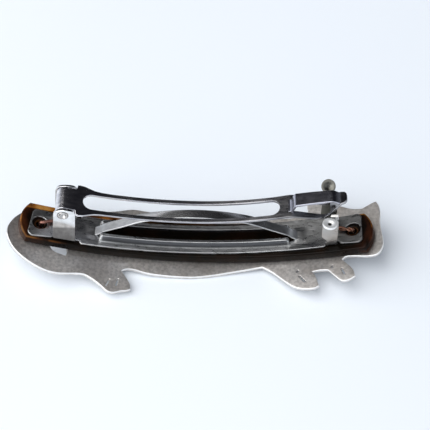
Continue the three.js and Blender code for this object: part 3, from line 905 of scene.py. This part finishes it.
def make_wings():
    foot = BASE_TOP + rise(WING_X) - SHEET
    r = DISC_RADIUS

    def z(height):
        """Length along the wing's sheet of a height above the base's top."""
        return BASE_TOP + height - foot

    for name, side, body, node, degrees, corner, start in WINGS:
        path = wing_path(math.radians(degrees), BASE_TOP + corner)
        bend_s = BASE_TOP + corner - foot
        disc_s = float(path.s[-2]) + r + start
        loop = [(31.1, z(3.4)), (33.6, z(3.9)), (33.45, z(10)), (33.3, z(12.4)), (32.6, bend_s - 0.1)]
        loop += arc(DISC_X, disc_s, r, -45, 225, 24)
        loop += [(29.8, bend_s - 0.2), (29.7, z(12.4)), (29.7, z(6.9)), (30.2, z(6.0)), (31.0, z(5.3))]
        sheet = flat_sheet([loop], SHEET)
        cut(sheet, 1, path.bends() + every(disc_s - r, disc_s + r, 0.2))
        cut(sheet, 0, every(DISC_X - r, DISC_X + r, 0.2))
        satin_and_painted_sheen = sheet.verts.layers.float.new("satin_and_painted_sheen")
        pit_shade = sheet.verts.layers.float.new("pit_shade")
        for v in sheet.verts:
            from_centre = math.hypot(v.co.x - DISC_X, v.co.y - disc_s)
            on_disc = 0.5 < from_centre < r + 0.1 and v.co.y > bend_s + 0.5
            # Painted sheen on the front wing's disc only.
            v[satin_and_painted_sheen] = 1.0 if side < 0 and on_disc else 0.0
            # Painted shade in the disc's central dip.
            v[pit_shade] = 1.0 - smoothstep((from_centre - 0.25) / 0.3)

        def shape(x, s, off, side=side, path=path, disc_s=disc_s, bend_s=bend_s):
            from_centre = math.hypot(x - DISC_X, s - disc_s)
            dip = 0.35 * (1 - smoothstep((from_centre - 0.3) / 0.9)) if s > bend_s + 0.2 else 0
            across, up = path.at(s, off + SHEET - (dip if off > -0.3 else 0))
            return Vector((x, side * across, up))

        formed(sheet, shape)
        metal = FRONT_WING_STEEL if side < 0 else REAR_WING_STEEL
        piece(name, merge(sheet, claw_mesh(side)), body, metal, node)


def claw_mesh(side):
    """The lip that turns in over the catch."""
    inside = WING_FACE - SHEET
    path = Path([(inside + 0.1, 12.9), (inside + 0.05, 13.1), (inside - 0.15, 13.35), (2.3, 13.5)])
    length = path.length()
    sheet = flat_sheet([[(31.0, 0), (33.3, 0), (33.2, length), (31.5, length)]], CLAW_THICK)
    cut(sheet, 1, path.bends())

    def shape(x, s, off):
        across, up = path.at(s, off)
        return Vector((x, side * across, BASE_TOP + up + 0.1 * (x - 31)))

    return formed(sheet, shape)


# ---- Wires ----


def tube(points, radius, steps=14):
    """A round bar along a line, with rounded ends."""
    p = [Vector(q) for q in points]
    mesh = bmesh.new()
    rings = []
    across = Vector((0, 1, 0))
    for i, q in enumerate(p):
        ahead = (p[min(i + 1, len(p) - 1)] - p[max(i - 1, 0)]).normalized()
        across = (across - ahead * across.dot(ahead)).normalized()
        other = ahead.cross(across)
        shrink = 0.75 if i in (0, len(p) - 1) else 1.0
        rings.append(ring(mesh, q, across, other, radius * shrink, steps))
    for a, b in zip(rings, rings[1:]):
        for k in range(steps):
            mesh.faces.new((a[k], b[k], b[(k + 1) % steps], a[(k + 1) % steps]))
    mesh.faces.new(list(reversed(rings[0])))
    mesh.faces.new(rings[-1])
    return mesh


def wire_line(side, radius, hole_y, end_y):
    """Up through the bar and the clip, then bent over towards the middle of the clip."""
    floor = PLATE_THICK + rise(HOLE_X, ARC_CENTRE - PLATE_THICK) + 0.3
    bend = BASE_TOP + rise(HOLE_X) + radius + 0.12
    points = [(HOLE_X, 0, floor), (HOLE_X, 0, bend - 1.4), (HOLE_X - 0.25, hole_y, bend - 0.3)]
    points += [(HOLE_X - 1.1, hole_y, bend), (HOLE_X - 3.4, end_y, bend - 0.75)]
    return [Vector((side * x, y, z)) for x, y, z in through(points, 8) + [points[-1]]]


def make_wires():
    left = wire_line(-1, LEFT_WIRE_RADIUS, -0.25, 0.8)
    piece("left_wire", tube(left, LEFT_WIRE_RADIUS), "clip", LEFT_COPPER, "left_fastening_wire")
    right = wire_line(1, RIGHT_WIRE_RADIUS, -0.6, 0.2)
    across = Vector((0, 1, 0))
    strands = []
    for phase in (0, math.pi):
        line = []
        for i, q in enumerate(right):
            ahead = (right[min(i + 1, len(right) - 1)] - right[max(i - 1, 0)]).normalized()
            up = ahead.cross(across)
            turn = phase + 0.4 * i
            line.append(q + 0.29 * (math.cos(turn) * across + math.sin(turn) * up))
        strands.append(tube(line, STRAND_RADIUS))
    piece("right_wire", merge(*strands), "clip", RIGHT_COPPER, "right_fastening_wire")


make_cat()
make_bar()
make_base()
make_pin()
make_arm()
make_leaf()
make_wings()
make_wires()

# ---- Floor, light and camera ----


def floor_material():
    n = Nodes("floor")
    soft = n.noise(6, 2)
    n.link(n.ramp(soft, [(0.3, (0.86, 0.9, 0.95)), (0.7, (0.88, 0.92, 0.96))]), n.shader.inputs["Base Color"])
    n.shader.inputs["Roughness"].default_value = 0.45
    return n.material


def make_floor():
    mesh = bpy.data.meshes.new("floor")
    far = 1.5
    mesh.from_pydata([(-far, -far, 0), (far, -far, 0), (far, far, 0), (-far, far, 0)], [], [(0, 1, 2, 3)])
    mesh.materials.append(floor_material())
    floor = bpy.data.objects.new("floor", mesh)
    bpy.context.scene.collection.objects.link(floor)


def area_light(name, where, target, size, power):
    data = bpy.data.lights.new(name, "AREA")
    data.shape = "RECTANGLE"
    data.size, data.size_y = size
    data.energy = power
    light = bpy.data.objects.new(name, data)
    light.location = where
    light.rotation_euler = (Vector(target) - Vector(where)).to_track_quat("-Z", "Y").to_euler()
    bpy.context.scene.collection.objects.link(light)


def make_world():
    """A bright surround with a dark patch above the far side, which the level polished faces mirror."""
    world = bpy.data.worlds.new("studio")
    bpy.context.scene.world = world
    world.use_nodes = True
    tree = world.node_tree
    where = tree.nodes.new("ShaderNodeTexCoord").outputs["Generated"]
    towards = tree.nodes.new("ShaderNodeVectorMath")
    towards.operation = "DOT_PRODUCT"
    tree.links.new(where, towards.inputs[0])
    towards.inputs[1].default_value = Vector((0.12, 0.62, 0.78)).normalized()
    ramp = tree.nodes.new("ShaderNodeValToRGB")
    bright = (0.62, 0.66, 0.72)
    stops = [(0.0, bright), (0.45, bright), (0.72, (0.10, 0.105, 0.115)), (0.86, (0.012, 0.012, 0.015))]
    while len(ramp.color_ramp.elements) < len(stops):
        ramp.color_ramp.elements.new(0.5)
    for element, (position, colour) in zip(ramp.color_ramp.elements, stops):
        element.position = position
        element.color = (*colour, 1)
    tree.links.new(towards.outputs["Value"], ramp.inputs["Fac"])
    tree.links.new(ramp.outputs["Color"], tree.nodes["Background"].inputs["Color"])
    tree.nodes["Background"].inputs["Strength"].default_value = WORLD_STRENGTH


def make_camera():
    """A long lens that looks down on the clip from the near side, a little off centre."""
    elevation, azimuth, roll = (math.radians(a) for a in (52.973, -0.51, 0.832))
    distance = 369.15
    target = Vector((0, 0, BASE_TOP))
    flat = math.cos(elevation)
    ahead = Vector((math.sin(azimuth) * flat, math.cos(azimuth) * flat, -math.sin(elevation)))
    level = Vector((math.cos(azimuth), -math.sin(azimuth), 0))
    upright = level.cross(ahead)
    right = level * math.cos(roll) + upright * math.sin(roll)
    up = -level * math.sin(roll) + upright * math.cos(roll)
    data = bpy.data.cameras.new("camera")
    data.sensor_width = 36
    data.lens = 127.8753
    data.shift_x = 0.043884
    data.shift_y = 0.056163
    data.clip_start = 0.01
    camera = bpy.data.objects.new("camera", data)
    turn = Matrix((right, up, -ahead)).transposed().to_4x4()
    turn.translation = (target - ahead * distance) * MM
    camera.matrix_world = turn
    bpy.context.scene.collection.objects.link(camera)
    bpy.context.scene.camera = camera


make_floor()
make_world()
area_light("key", where=(-0.55, -0.15, 0.8), target=(0, 0, 0), size=(1.4, 1.4), power=13.5)
make_camera()
bpy.context.scene.view_settings.view_transform = "Standard"
